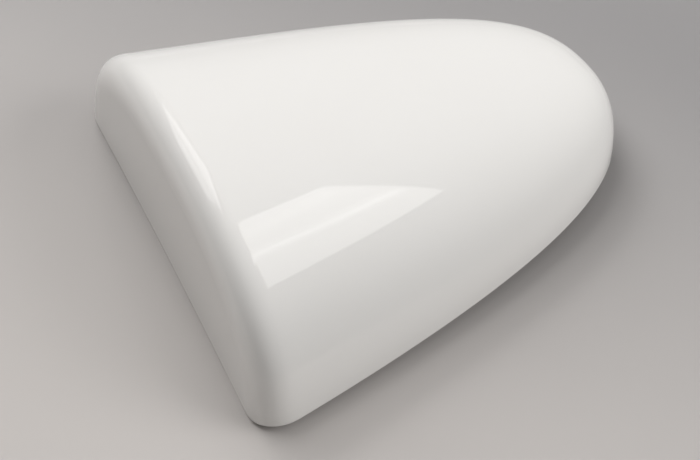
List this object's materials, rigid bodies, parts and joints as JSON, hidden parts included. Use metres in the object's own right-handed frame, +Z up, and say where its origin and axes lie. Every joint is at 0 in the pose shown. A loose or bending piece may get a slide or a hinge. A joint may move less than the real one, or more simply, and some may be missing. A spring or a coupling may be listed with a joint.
{
  "type": "motorbike seat cowl",
  "caption": "Glossy white moulded cover for the pillion seat place of a sports motorbike, arched, with a straight front wall and a rounded tail.",
  "frame": {"origin": "on the floor, half way along the shell and in its plane of symmetry", "axes": "+X from the front wall to the tail, +Y to the bike's right, +Z up"},
  "size_m": [0.2955, 0.2838, 0.0807],
  "materials": {
    "white_shell": "glossy white, mirror smooth outside, satin as moulded inside"
  },
  "bodies": {
    "root": {"cowl_shell": "white_shell"}
  },
  "joints": []
}
